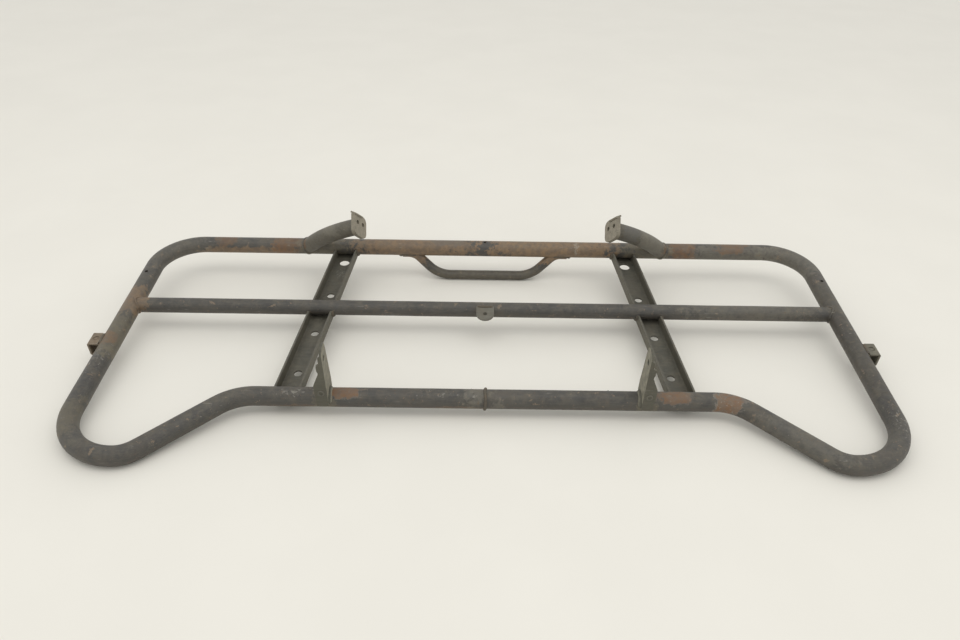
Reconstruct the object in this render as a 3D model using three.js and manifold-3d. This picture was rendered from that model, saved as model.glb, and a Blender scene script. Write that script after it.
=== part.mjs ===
// Rear cargo rack of a quad bike: a welded tube frame, lying upside down with its mounting legs up.
// Millimetres, +Z up, +Y towards the rear tube. The frame is modelled on a flat deck whose local x, y
// and z are across, rearward and out of the deck, and the deck is then tilted as it lies on its wings.
import * as THREE from "three";
import { mergeVertices } from "three/addons/utils/BufferGeometryUtils.js";
import Module from "manifold-3d";

const wasm = await Module();
wasm.setup();

// ---------------------------------------------------------------- driving dimensions
const DEGREE = Math.PI / 180;
const GAP = 0.3; // clearance kept between pieces that are welded to each other
const DECK_TILT = 5.2 * DEGREE; // the grab loop lifts the rear of the deck

const TUBE_R = 12.7; // one inch frame tube
const TUBE_WALL = 1.8;
const TUBE_SIDES = 20;
const BORE_SIDES = 10;
const BEND_R = 65; // centre-line radius of the frame tube's corners
const BEND_STEP = 15 * DEGREE;

const LEG_X = 520.2; // side leg axis
const REAR_Y = 343.4; // rear tube axis; the front tube axis is at y = 0
const FRONT_CORNER_X = 323; // where the front tube turns into the wing
const WING_ANGLE = 44 * DEGREE;
const WING_Y = -102.3; // foremost point of the wing's centre line
const WING_OUTER_R = 75;
const WING_INNER_R = 40;
const DRAIN_R = 2.5;
const LEG_DRAIN_Y = 250;

const MID_R = 11.1; // seven eighths inch cross tube
const MID_WALL = 1.6;
const MID_Y = 183.7;

const SHEET = 2.5; // all folded sheet

const RAIL_WIDTH = 35;
const RAIL_BOTTOM = -(TUBE_R + GAP + SHEET); // the web lies against the underside of the tubes
const RAIL_TOP = 2;
const RAIL_REAR = { x: 228.2, y: 315.8 }; // centre line at the large hole
const RAIL_FRONT = { x: 254.4, y: 56.4 }; // centre line at the front small hole
const RAIL_START_Y = 2;
const RAIL_END_Y = 351;
const RAIL_SPLAY = Math.atan2(RAIL_FRONT.x - RAIL_REAR.x, RAIL_REAR.y - RAIL_FRONT.y);
const RAIL_BIG_HOLE_R = 8;
const RAIL_HOLE_R = 5.65;
const RAIL_HOLES_Y = [228.7, 139.5, 56.4];

const LOOP_R = 7.5; // grab loop rod
const LOOP_DROP = 46.3; // rear tube axis to the axis of the loop's low run
const LOOP_LEAN = 15 * DEGREE; // forward, from straight out of the deck
const LOOP_HALF_RUN = 76.5;
const LOOP_SHOULDER = { x: 115, drop: 8.5 };
const LOOP_END_X = 135;
const LOOP_LOW_BEND_R = 50;
const LOOP_HIGH_BEND_R = 26;

const ARM_FOOT = new THREE.Vector3(289, REAR_Y, 0);
const ARM_KNEE = new THREE.Vector3(250.7, REAR_Y - 40.3, 52.4);
const ARM_END = new THREE.Vector3(194, REAR_Y - 52.5, 73.3);

const PLATE_LEAN = 51.8 * DEGREE; // of its upper side, rearward from straight out of the deck
const PLATE_WIDTH = 34;
const PLATE_HEIGHT = 34;
const PLATE_CORNER_R = 9;
const PLATE_RIM = 3.5; // depth of the dished plate's rim, back towards the arm
const PLATE_BOLT_R = 3.25;
const PLATE_BOLTS = [
  { x: -7.5, y: 4 },
  { x: 7.5, y: 4 },
];
const PLATE_LIP_CORNER_R = 2; // the corner beside the lip
const LIP_LENGTH = 7.5; // ear on the upper edge, bent back over the arm
const LIP_START_X = -4;
const LIP_END_X = 16.5;
const LIP_ANGLE = 62 * DEGREE;

const BRACKET_IN_X = 199.7; // inner face of the front bracket's side plate
const BRACKET_TOP = 91;
const BRACKET_FOOT_X = 215.5;
const BRACKET_EAR_X = 208.5;
const BRACKET_BACK_Y = 16;
const BRACKET_BOLT = { y: -4, z: 72, r: 4 };
const SADDLE_WIDTH = 15;
const SADDLE_WRAP = 4 * DEGREE; // how far the saddle runs on below the tube's axis
const SADDLE_STEPS = 6;

const EAR_OUT_X = 547; // side bracket: outer wall
const EAR_IN_X = 526; // inner edge of its lower plate
const EAR_TOP_IN_X = 532; // inner edge of its upper plate, short of the tube for the weld
const EAR_FRONT_Y = 86;
const EAR_BACK_Y = 109;
const EAR_TOP = 9;
const EAR_BOTTOM = -12.5;
const EAR_FOLD_R = 3;
const EAR_BOLT = { x: 538.4, y: 98, r: 4.5 };
const NUT_WIDTH = 10.5;
const NUT_HEIGHT = 6;
const NUT_BORE_R = 3.4;

const TAB_WIDTH = 26;
const TAB_ROOT_Y = 178;
const TAB_LENGTH = 26;
const TAB_TOP = 10.7;
const TAB_SLOPE = 10 * DEGREE;
const TAB_HOLE_R = 3.15;
const TAB_HOLE_FROM_TIP = 12;

const BEAD_R = 2.7; // weld beads at the tube joints
const LOOP_BEAD_R = 2;
const FOOT_BEAD_R = 3.2; // front bracket to front tube
const EAR_BEAD_R = 2.4;
const TAB_BEAD_R = 1.8;
const BEAD_INSET = 2; // a bead stops short of the ends of a straight edge
const COPE_STEPS = 12;
const COPE_OPENING = 0.12; // radians left open each side where a round bead starts and stops
const BEAD_SIDES = 6;
const ROD_SIDES = 14;
const HOLE_SIDES = 20;
const CORNER_STEP = 18 * DEGREE;
const ARM_STEPS = 10;

// ---------------------------------------------------------------- materials
function steel(color, roughness) {
  return new THREE.MeshStandardMaterial({ color, roughness, metalness: 0.6 });
}
const paint = () => steel(0x3b3a35, 0.55);
const dustyPaint = () => steel(0x5f5d54, 0.7);
const zinc = () => steel(0x8b897c, 0.6);
const weldMetal = () => steel(0x4a4036, 0.75);

// ---------------------------------------------------------------- solids
function asSolid(geometry) {
  const bare = geometry.clone();
  bare.deleteAttribute("normal");
  bare.deleteAttribute("uv");
  const merged = mergeVertices(bare);
  const mesh = new wasm.Mesh({
    numProp: 3,
    vertProperties: merged.attributes.position.array,
    triVerts: new Uint32Array(merged.index.array),
  });
  return new wasm.Manifold(mesh);
}

function asGeometry(solid) {
  const mesh = solid.getMesh();
  const geometry = new THREE.BufferGeometry();
  geometry.setAttribute("position", new THREE.BufferAttribute(mesh.vertProperties, 3));
  geometry.setIndex(new THREE.BufferAttribute(mesh.triVerts, 1));
  geometry.computeVertexNormals();
  return geometry;
}

function combine(geometries, operation) {
  const solids = geometries.map(asSolid);
  return asGeometry(solids.reduce((whole, next) => whole[operation](next)));
}
const join = (...geometries) => combine(geometries, "add");
const cut = (geometry, ...cutters) => combine([geometry, ...cutters], "subtract");

// The same shape on the other side of the centre plane.
function mirrored(geometry) {
  const copy = geometry.index ? geometry.clone() : mergeVertices(geometry);
  copy.scale(-1, 1, 1);
  const index = copy.index.array;
  for (let i = 0; i < index.length; i += 3) {
    const second = index[i + 1];
    index[i + 1] = index[i + 2];
    index[i + 2] = second;
  }
  copy.computeVertexNormals();
  return copy;
}

// ---------------------------------------------------------------- curves
// Stations, each a point and a direction, along a line of corners with every inner corner rounded.
function roundedLine(corners, radii, stepAngle = BEND_STEP) {
  const last = corners.length - 1;
  const stations = [];
  corners.forEach((corner, i) => {
    const incoming = corner.clone().sub(corners[Math.max(i - 1, 0)]).normalize();
    const outgoing = corners[Math.min(i + 1, last)].clone().sub(corner).normalize();
    if (i === 0 || i === last) {
      stations.push({ point: corner.clone(), direction: i === 0 ? outgoing : incoming });
      return;
    }
    const turn = incoming.angleTo(outgoing);
    const start = corner.clone().addScaledVector(incoming, -radii[i] * Math.tan(turn / 2));
    const inward = outgoing.clone().addScaledVector(incoming, -outgoing.dot(incoming)).normalize();
    const steps = Math.ceil(turn / stepAngle);
    for (let step = 0; step <= steps; step += 1) {
      const angle = (turn * step) / steps;
      const point = start.clone().addScaledVector(incoming, radii[i] * Math.sin(angle));
      point.addScaledVector(inward, radii[i] * (1 - Math.cos(angle)));
      const direction = incoming.clone().multiplyScalar(Math.cos(angle));
      direction.addScaledVector(inward, Math.sin(angle));
      stations.push({ point, direction });
    }
  });
  return stations;
}

// A curve that is sampled at its stations, so straight runs cost one step.
class StationCurve extends THREE.Curve {
  constructor(stations) {
    super();
    this.stations = stations;
  }
  blend(t, key) {
    const place = t * (this.stations.length - 1);
    const index = Math.min(Math.round(place), this.stations.length - 1);
    return this.stations[index][key].clone();
  }
  getPointAt(t) {
    return this.blend(t, "point");
  }
  getTangentAt(t) {
    return this.blend(t, "direction");
  }
}

function circle(radius, sides) {
  const points = [];
  for (let i = 0; i < sides; i += 1) {
    const angle = (2 * Math.PI * (i + 0.5)) / sides;
    points.push(new THREE.Vector2(radius * Math.cos(angle), radius * Math.sin(angle)));
  }
  return new THREE.Shape(points);
}

function sweep(curve, steps, radius, sides) {
  return new THREE.ExtrudeGeometry(circle(radius, sides), { steps, extrudePath: curve });
}

function sweepStations(stations, radius, sides) {
  return sweep(new StationCurve(stations), stations.length - 1, radius, sides);
}

// ---------------------------------------------------------------- flat and folded sheet
// A closed outline with rounded corners, from [x, y, radius] triples.
function outline(corners) {
  const count = corners.length;
  const points = [];
  corners.forEach(([x, y, radius = 0], i) => {
    if (radius === 0) {
      points.push(new THREE.Vector2(x, y));
      return;
    }
    const [beforeX, beforeY] = corners[(i + count - 1) % count];
    const [afterX, afterY] = corners[(i + 1) % count];
    const line = [
      new THREE.Vector3(beforeX, beforeY, 0),
      new THREE.Vector3(x, y, 0),
      new THREE.Vector3(afterX, afterY, 0),
    ];
    const rounded = roundedLine(line, [0, radius, 0], CORNER_STEP).slice(1, -1);
    rounded.forEach(({ point }) => points.push(new THREE.Vector2(point.x, point.y)));
  });
  return new THREE.Shape(points);
}

function addHole(shape, x, y, radius) {
  const hole = new THREE.Path();
  hole.absarc(x, y, radius, 0, 2 * Math.PI, true);
  shape.holes.push(hole);
  return shape;
}

// A shape drawn in the two other axes and extruded between two stops of the named axis.
function prism(shape, axis, from, to) {
  const geometry = new THREE.ExtrudeGeometry(shape, {
    depth: to - from,
    bevelEnabled: false,
    curveSegments: HOLE_SIDES,
  });
  const x = new THREE.Vector3(1, 0, 0);
  const y = new THREE.Vector3(0, 1, 0);
  const z = new THREE.Vector3(0, 0, 1);
  const basis = new THREE.Matrix4();
  if (axis === "x") {
    basis.makeBasis(y, z, x).setPosition(from, 0, 0);
  } else if (axis === "y") {
    basis.makeBasis(x, z, y.negate()).setPosition(0, to, 0);
  } else {
    basis.setPosition(0, 0, from);
  }
  return geometry.applyMatrix4(basis);
}

// A box between two corners, grown all round.
function block(low, high, grow = 0) {
  const size = high.map((value, i) => value - low[i] + 2 * grow);
  const box = new THREE.BoxGeometry(...size);
  return box.translate(...high.map((value, i) => (value + low[i]) / 2));
}

// A round bar along the named axis whose flats clear the given radius.
function roundBar(axis, centre, radius, length) {
  const flats = radius / Math.cos(Math.PI / TUBE_SIDES);
  const bar = new THREE.CylinderGeometry(flats, flats, length, TUBE_SIDES);
  if (axis === "x") bar.rotateZ(Math.PI / 2);
  if (axis === "z") bar.rotateX(Math.PI / 2);
  return bar.translate(...centre);
}

// ---------------------------------------------------------------- the scene
const rack = new THREE.Group();
const deck = new THREE.Group();
deck.rotation.x = DECK_TILT;
rack.add(deck);

function place(name, geometry, material, parent = deck) {
  const mesh = new THREE.Mesh(geometry, material);
  mesh.name = name;
  parent.add(mesh);
  return mesh;
}

// A piece whose shape is given on the deck, hung from a pivot point of its own.
function placeAt(name, geometry, material, pivot) {
  const mesh = place(name, geometry.clone().translate(-pivot.x, -pivot.y, -pivot.z), material);
  mesh.position.copy(pivot);
  return mesh;
}

// The right-hand piece and its mirror image.
function placePair(name, geometry, material, pivot) {
  placeAt(`${name}_right`, geometry, material(), pivot);
  const across = new THREE.Vector3(-pivot.x, pivot.y, pivot.z);
  placeAt(`${name}_left`, mirrored(geometry), material(), across);
}

const rearAxis = new THREE.Vector3(0, REAR_Y, 0);
const clearRear = roundBar("x", [0, REAR_Y, 0], TUBE_R + GAP, 2 * LEG_X - 2 * BEND_R);
const clearFront = roundBar("x", [0, 0, 0], TUBE_R + GAP, 2 * FRONT_CORNER_X - BEND_R);
const clearMid = roundBar("x", [0, MID_Y, 0], MID_R + GAP, 2 * LEG_X);
const clearLeg = roundBar("y", [LEG_X, MID_Y / 2, 0], TUBE_R + GAP, 2 * MID_Y);

// ---------------------------------------------------------------- frame tubes
function halfOutlineStations() {
  const wingInnerX = FRONT_CORNER_X - WING_Y / Math.tan(WING_ANGLE);
  const corners = [
    new THREE.Vector3(0, REAR_Y, 0),
    new THREE.Vector3(LEG_X, REAR_Y, 0),
    new THREE.Vector3(LEG_X, WING_Y, 0),
    new THREE.Vector3(wingInnerX, WING_Y, 0),
    new THREE.Vector3(FRONT_CORNER_X, 0, 0),
    new THREE.Vector3(0, 0, 0),
  ];
  return roundedLine(corners, [0, BEND_R, WING_OUTER_R, WING_INNER_R, BEND_R, 0]);
}

function closedRing(radius, sides) {
  const half = sweepStations(halfOutlineStations(), radius, sides);
  return join(half, mirrored(half));
}

function addPerimeterTube() {
  const rearDrain = roundBar("z", [0, REAR_Y, TUBE_R], DRAIN_R, TUBE_R);
  const rightDrain = roundBar("z", [LEG_X, LEG_DRAIN_Y, TUBE_R], DRAIN_R, TUBE_R);
  const leftDrain = roundBar("z", [-LEG_X, LEG_DRAIN_Y, TUBE_R], DRAIN_R, TUBE_R);
  const bore = closedRing(TUBE_R - TUBE_WALL, BORE_SIDES);
  const tube = cut(closedRing(TUBE_R, TUBE_SIDES), bore, rearDrain, rightDrain, leftDrain);
  place("perimeter_tube", tube, paint());
}

// A low bead right round a frame tube, turned about y between two stops.
function weldRing(height, from, to) {
  const inner = (TUBE_R + GAP) / Math.cos(Math.PI / TUBE_SIDES);
  const middle = (from + to) / 2;
  const shoulder = (to - from) / 3;
  const profile = [
    [inner, from],
    [inner + 0.7 * height, middle - shoulder],
    [inner + height, middle],
    [inner + 0.7 * height, middle + shoulder],
    [inner, to],
    [inner, from],
  ];
  const points = profile.map(([radius, along]) => new THREE.Vector2(radius, along));
  return new THREE.LatheGeometry(points, TUBE_SIDES);
}

function addButtWeld() {
  const ring = place("butt_weld_ring", weldRing(1.3, -3, 3), weldMetal());
  ring.rotation.z = Math.PI / 2;
}

function addMidTube() {
  const centre = [0, MID_Y, 0];
  const outer = roundBar("x", centre, MID_R * Math.cos(Math.PI / TUBE_SIDES), 2 * LEG_X);
  const bore = roundBar("x", centre, MID_R - MID_WALL, 2 * LEG_X + TUBE_R);
  const tube = cut(outer, bore, clearLeg, mirrored(clearLeg));
  placeAt("mid_cross_tube", tube, paint(), new THREE.Vector3(...centre));
}

// ---------------------------------------------------------------- channel rails
// The rail is drawn along local y from its front end, and turned by its splay.
function railX(y) {
  return RAIL_FRONT.x - (y - RAIL_FRONT.y) * Math.tan(RAIL_SPLAY);
}

const RAIL_LENGTH = (RAIL_END_Y - RAIL_START_Y) / Math.cos(RAIL_SPLAY);

function railFrame(geometry) {
  return geometry.rotateZ(RAIL_SPLAY).translate(railX(RAIL_START_Y), RAIL_START_Y, 0);
}

function railShape() {
  const side = RAIL_WIDTH / 2;
  const inside = side - SHEET;
  const floor = RAIL_BOTTOM + SHEET;
  const section = outline([
    [-side, RAIL_TOP],
    [-side, RAIL_BOTTOM, 4],
    [side, RAIL_BOTTOM, 4],
    [side, RAIL_TOP],
    [inside, RAIL_TOP],
    [inside, floor, 1.5],
    [-inside, floor, 1.5],
    [-inside, RAIL_TOP],
  ]);
  const holes = [{ y: RAIL_REAR.y, r: RAIL_BIG_HOLE_R }];
  RAIL_HOLES_Y.forEach((y) => holes.push({ y, r: RAIL_HOLE_R }));
  const drills = holes.map(({ y, r }) => roundBar("z", [railX(y), y, RAIL_BOTTOM], r, 3 * SHEET));
  return cut(railFrame(prism(section, "y", 0, RAIL_LENGTH)), clearFront, clearRear, clearMid, ...drills);
}

function addRails() {
  const pivot = new THREE.Vector3(railX(RAIL_START_Y), RAIL_START_Y, RAIL_BOTTOM);
  placePair("channel", railShape(), paint, pivot);
}

// ---------------------------------------------------------------- grab loop
function loopPoint(x, drop) {
  const y = REAR_Y - drop * Math.sin(LOOP_LEAN);
  return new THREE.Vector3(x, y, -drop * Math.cos(LOOP_LEAN));
}

function loopRod(radius, endX) {
  const corners = [
    loopPoint(-endX, LOOP_SHOULDER.drop),
    loopPoint(-LOOP_SHOULDER.x, LOOP_SHOULDER.drop),
    loopPoint(-LOOP_HALF_RUN, LOOP_DROP),
    loopPoint(LOOP_HALF_RUN, LOOP_DROP),
    loopPoint(LOOP_SHOULDER.x, LOOP_SHOULDER.drop),
    loopPoint(endX, LOOP_SHOULDER.drop),
  ];
  const radii = [0, LOOP_HIGH_BEND_R, LOOP_LOW_BEND_R, LOOP_LOW_BEND_R, LOOP_HIGH_BEND_R, 0];
  return sweepStations(roundedLine(corners, radii), radius, ROD_SIDES);
}

function addGrabLoop() {
  const rod = cut(loopRod(LOOP_R, LOOP_END_X), clearRear);
  placeAt("grab_loop", rod, paint(), loopPoint(0, LOOP_DROP));
}

// ---------------------------------------------------------------- rear arms and their plates
const armCurve = new THREE.QuadraticBezierCurve3(ARM_FOOT, ARM_KNEE, ARM_END);

function addArms() {
  const outer = sweep(armCurve, ARM_STEPS, TUBE_R, TUBE_SIDES);
  const stations = [];
  for (let step = 0; step <= ARM_STEPS; step += 1) {
    const t = step / ARM_STEPS;
    stations.push({ point: armCurve.getPointAt(t), direction: armCurve.getTangentAt(t) });
  }
  const direction = armCurve.getTangent(1);
  stations.push({ point: ARM_END.clone().addScaledVector(direction, GAP), direction });
  const bore = sweepStations(stations, TUBE_R - TUBE_WALL, BORE_SIDES);
  placePair("rear_arm", cut(outer, bore, clearRear), paint, ARM_FOOT);
}

// The plate's own frame: z leaves the arm's end, y is the plate's upper side.
function plateFrame() {
  const z = armCurve.getTangent(1).normalize();
  const y = new THREE.Vector3(0, Math.sin(PLATE_LEAN), Math.cos(PLATE_LEAN));
  const x = y.clone().cross(z).normalize();
  y.copy(z).cross(x);
  return new THREE.Matrix4().makeBasis(x, y, z).setPosition(ARM_END);
}

function plateOutline(width, height, radius) {
  const x = width / 2;
  const y = height / 2;
  return outline([
    [-x, -y, radius],
    [x, -y, radius],
    [x, y, PLATE_LIP_CORNER_R],
    [-x, y, radius],
  ]);
}

function plateShape() {
  const wall = 2 * SHEET;
  const face = plateOutline(PLATE_WIDTH, PLATE_HEIGHT, PLATE_CORNER_R);
  const inside = plateOutline(PLATE_WIDTH - wall, PLATE_HEIGHT - wall, PLATE_CORNER_R - SHEET);
  const back = GAP - PLATE_RIM;
  const tray = prism(face, "z", back, GAP + SHEET);
  const hollow = prism(inside, "z", back - SHEET, GAP);
  return cut(tray, hollow);
}

function lipShape() {
  const lip = block([LIP_START_X, -SHEET, -SHEET], [LIP_END_X, LIP_LENGTH, 0]);
  lip.rotateX(-LIP_ANGLE);
  return lip.translate(0, PLATE_HEIGHT / 2, GAP + SHEET);
}

function addPlates() {
  const drills = PLATE_BOLTS.map(({ x, y }) => roundBar("z", [x, y, SHEET], PLATE_BOLT_R, 3 * SHEET));
  const plate = cut(join(plateShape(), lipShape()), ...drills);
  placePair("arm_plate", plate.applyMatrix4(plateFrame()), zinc, ARM_END);
}

// ---------------------------------------------------------------- front brackets
function saddleShape() {
  const near = TUBE_R + GAP;
  const far = near + SHEET;
  const points = [];
  for (let step = 0; step <= SADDLE_STEPS; step += 1) {
    const angle = Math.PI + (SADDLE_WRAP * step) / SADDLE_STEPS;
    points.push(new THREE.Vector2(far * Math.cos(angle), far * Math.sin(angle)));
  }
  for (let step = SADDLE_STEPS; step >= 0; step -= 1) {
    const angle = Math.PI + (SADDLE_WRAP * step) / SADDLE_STEPS;
    points.push(new THREE.Vector2(near * Math.cos(angle), near * Math.sin(angle)));
  }
  points.push(new THREE.Vector2(-near, near + SHEET));
  points.push(new THREE.Vector2(-far, near + SHEET));
  return prism(new THREE.Shape(points), "x", BRACKET_IN_X, BRACKET_IN_X + SADDLE_WIDTH);
}

function frontFlangeShape() {
  const nearY = -(TUBE_R + GAP);
  const slimX = BRACKET_IN_X + 5;
  const shape = outline([
    [BRACKET_IN_X, TUBE_R],
    [BRACKET_IN_X + SADDLE_WIDTH, TUBE_R],
    [BRACKET_FOOT_X, 22, 4],
    [BRACKET_FOOT_X, 34, 6],
    [BRACKET_EAR_X - 2, 56, 8],
    [BRACKET_EAR_X, 60, 2],
    [BRACKET_EAR_X, 70, 3],
    [slimX, 70, 2],
    [slimX, BRACKET_TOP - 10],
    [BRACKET_IN_X, BRACKET_TOP - 6],
  ]);
  return prism(shape, "y", nearY - SHEET, nearY);
}

function sidePlateShape() {
  const frontY = -(TUBE_R + GAP + SHEET);
  const shape = outline([
    [frontY, 6],
    [BRACKET_BACK_Y, 6],
    [BRACKET_BACK_Y, 22, 6],
    [8, BRACKET_TOP, 11],
    [frontY, BRACKET_TOP, 9],
  ]);
  addHole(shape, BRACKET_BOLT.y, BRACKET_BOLT.z, BRACKET_BOLT.r);
  return prism(shape, "x", BRACKET_IN_X, BRACKET_IN_X + SHEET);
}

function addFrontBrackets() {
  const folded = join(sidePlateShape(), frontFlangeShape(), saddleShape());
  placePair("front_bracket", cut(folded, clearFront), dustyPaint, new THREE.Vector3(BRACKET_IN_X, 0, 0));
}

// ---------------------------------------------------------------- side brackets
function earShape() {
  const section = outline([
    [EAR_TOP_IN_X, EAR_TOP],
    [EAR_TOP_IN_X, EAR_TOP - SHEET],
    [EAR_OUT_X - SHEET, EAR_TOP - SHEET, EAR_FOLD_R - SHEET],
    [EAR_OUT_X - SHEET, EAR_BOTTOM + SHEET, EAR_FOLD_R - SHEET],
    [EAR_IN_X, EAR_BOTTOM + SHEET],
    [EAR_IN_X, EAR_BOTTOM],
    [EAR_OUT_X, EAR_BOTTOM, EAR_FOLD_R],
    [EAR_OUT_X, EAR_TOP, EAR_FOLD_R],
  ]);
  const bolt = roundBar("z", [EAR_BOLT.x, EAR_BOLT.y, EAR_TOP], EAR_BOLT.r, 2 * SHEET + 1);
  return cut(prism(section, "y", EAR_FRONT_Y, EAR_BACK_Y), clearLeg, bolt);
}

function nutShape() {
  const top = EAR_TOP - SHEET - GAP;
  const half = NUT_WIDTH / 2;
  const chamfer = 1;
  const shape = outline([
    [-half, -half, chamfer],
    [half, -half, chamfer],
    [half, half, chamfer],
    [-half, half, chamfer],
  ]);
  addHole(shape, 0, 0, NUT_BORE_R);
  return prism(shape, "z", top - NUT_HEIGHT, top).translate(EAR_BOLT.x, EAR_BOLT.y, 0);
}

function addSideBrackets() {
  const centre = new THREE.Vector3(EAR_OUT_X, EAR_FRONT_Y, 0);
  placePair("side_bracket", earShape(), dustyPaint, centre);
  placePair("side_nut", cut(nutShape(), clearLeg), zinc, new THREE.Vector3(EAR_BOLT.x, EAR_BOLT.y, 0));
}

// ---------------------------------------------------------------- centre tab
// Drawn from its root towards the front, then sloped down off the cross tube.
function tabShape(grow = 0) {
  const half = TAB_WIDTH / 2 + grow;
  const shape = outline([
    [-half, 0],
    [-half, -TAB_LENGTH - grow, half - 0.5],
    [half, -TAB_LENGTH - grow, half - 0.5],
    [half, 0],
  ]);
  if (grow === 0) addHole(shape, 0, TAB_HOLE_FROM_TIP - TAB_LENGTH, TAB_HOLE_R);
  const plate = prism(shape, "z", -SHEET - grow, grow);
  return plate.rotateX(TAB_SLOPE).translate(0, TAB_ROOT_Y, TAB_TOP);
}

function addCenterTab() {
  const pivot = new THREE.Vector3(0, TAB_ROOT_Y, TAB_TOP);
  placeAt("center_tab", cut(tabShape(), clearMid), zinc(), pivot);
}

// ---------------------------------------------------------------- weld beads
// A round bead along its points, cut back to the clearance of the pieces it joins.
function bead(points, radius, cutters) {
  const path = new THREE.CatmullRomCurve3(points);
  return cut(sweep(path, points.length, radius, BEAD_SIDES), ...cutters);
}

// Points where a round bar leaving a tube along a direction meets the tube, a little short of a full turn.
function copePoints(origin, direction, barR, axisPoint, axisDirection, tubeR) {
  const across = axisDirection.clone().cross(direction).normalize();
  const other = direction.clone().cross(across).normalize();
  const start = COPE_OPENING - Math.PI / 2;
  const turn = 2 * (Math.PI - COPE_OPENING);
  const points = [];
  for (let i = 0; i <= COPE_STEPS; i += 1) {
    const angle = start + (turn * i) / COPE_STEPS;
    const rim = origin.clone().addScaledVector(across, barR * Math.cos(angle));
    rim.addScaledVector(other, barR * Math.sin(angle));
    const offset = rim.clone().sub(axisPoint).projectOnPlane(axisDirection);
    const run = direction.clone().projectOnPlane(axisDirection);
    const a = run.lengthSq();
    const b = 2 * offset.dot(run);
    const c = offset.lengthSq() - tubeR * tubeR;
    const reach = (-b + Math.sqrt(b * b - 4 * a * c)) / (2 * a);
    points.push(rim.addScaledVector(direction, reach));
  }
  return points;
}

function addCopeWelds() {
  const xAxis = new THREE.Vector3(1, 0, 0);
  const yAxis = new THREE.Vector3(0, 1, 0);
  const seam = TUBE_R + GAP;

  const footDirection = armCurve.getTangent(0).normalize();
  const footRing = copePoints(ARM_FOOT, footDirection, TUBE_R + GAP, rearAxis, xAxis, seam);
  const clearArm = sweep(armCurve, ARM_STEPS, TUBE_R + 2 * GAP, TUBE_SIDES);
  placePair("weld_arm_foot", bead(footRing, BEAD_R, [clearRear, clearArm]), weldMetal, ARM_FOOT);

  const midEnd = new THREE.Vector3(LEG_X, MID_Y, 0);
  const midRing = copePoints(midEnd, xAxis.clone().negate(), MID_R + GAP, midEnd, yAxis, seam);
  placePair("weld_mid_end", bead(midRing, BEAD_R, [clearLeg, clearMid]), weldMetal, midEnd);

  const plateRing = weldRing(1, -3, 0).rotateX(Math.PI / 2).applyMatrix4(plateFrame());
  placePair("weld_arm_plate", plateRing, weldMetal, ARM_END);
}

// Each flange of a rail is welded round the outside of the tube that crosses it.
function flangeBead(side, tubeY, tubeR, fromAngle, toAngle) {
  const count = 8;
  const radius = tubeR + GAP;
  const points = [];
  for (let i = 0; i <= count; i += 1) {
    const angle = fromAngle + ((toAngle - fromAngle) * i) / count;
    const y = tubeY + radius * Math.cos(angle);
    const x = railX(y) + (side * RAIL_WIDTH) / 2 / Math.cos(RAIL_SPLAY);
    points.push(new THREE.Vector3(x + side * GAP, y, radius * Math.sin(angle)));
  }
  const half = RAIL_WIDTH / 2;
  const low = [-half, -2 * TUBE_R, RAIL_BOTTOM - TUBE_R];
  const high = [half, RAIL_LENGTH + 2 * TUBE_R, RAIL_TOP + TUBE_R];
  const rail = railFrame(block(low, high, GAP));
  const tube = roundBar("x", [railX(tubeY), tubeY, 0], radius, 4 * RAIL_WIDTH);
  return bead(points, BEAD_R, [rail, tube]);
}

function addRailWelds() {
  const top = Math.asin(RAIL_TOP / TUBE_R);
  const joints = [
    { name: "rear", y: REAR_Y, r: TUBE_R, from: Math.PI - top, to: 1.42 * Math.PI },
    { name: "mid", y: MID_Y, r: MID_R, from: Math.PI - top, to: 2 * Math.PI + top },
    { name: "front", y: 0, r: TUBE_R, from: top, to: -0.42 * Math.PI },
  ];
  joints.forEach(({ name, y, r, from, to }) => {
    const pivot = new THREE.Vector3(railX(y), y, 0);
    placePair(`weld_channel_${name}_outer`, flangeBead(1, y, r, from, to), weldMetal, pivot);
    placePair(`weld_channel_${name}_inner`, flangeBead(-1, y, r, from, to), weldMetal, pivot);
  });
}

function addLoopWelds() {
  const radius = TUBE_R + GAP;
  const ends = [
    [-0.62, -22],
    [-0.62, -11],
    [-0.6, -1],
    [-0.35, 3.5],
    [0, 4.5],
    [0.35, 3.5],
    [0.6, -1],
    [0.62, -11],
    [0.62, -22],
  ];
  const points = ends.map(([angle, along]) => {
    const turn = angle - LOOP_LEAN;
    const y = REAR_Y + radius * Math.sin(turn);
    return new THREE.Vector3(LOOP_END_X + along, y, -radius * Math.cos(turn));
  });
  const clearRod = loopRod(LOOP_R + 2 * GAP, LOOP_END_X + GAP);
  const weld = bead(points, LOOP_BEAD_R, [clearRear, clearRod]);
  placePair("weld_loop_end", weld, weldMetal, loopPoint(LOOP_END_X, LOOP_SHOULDER.drop));
}

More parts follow.
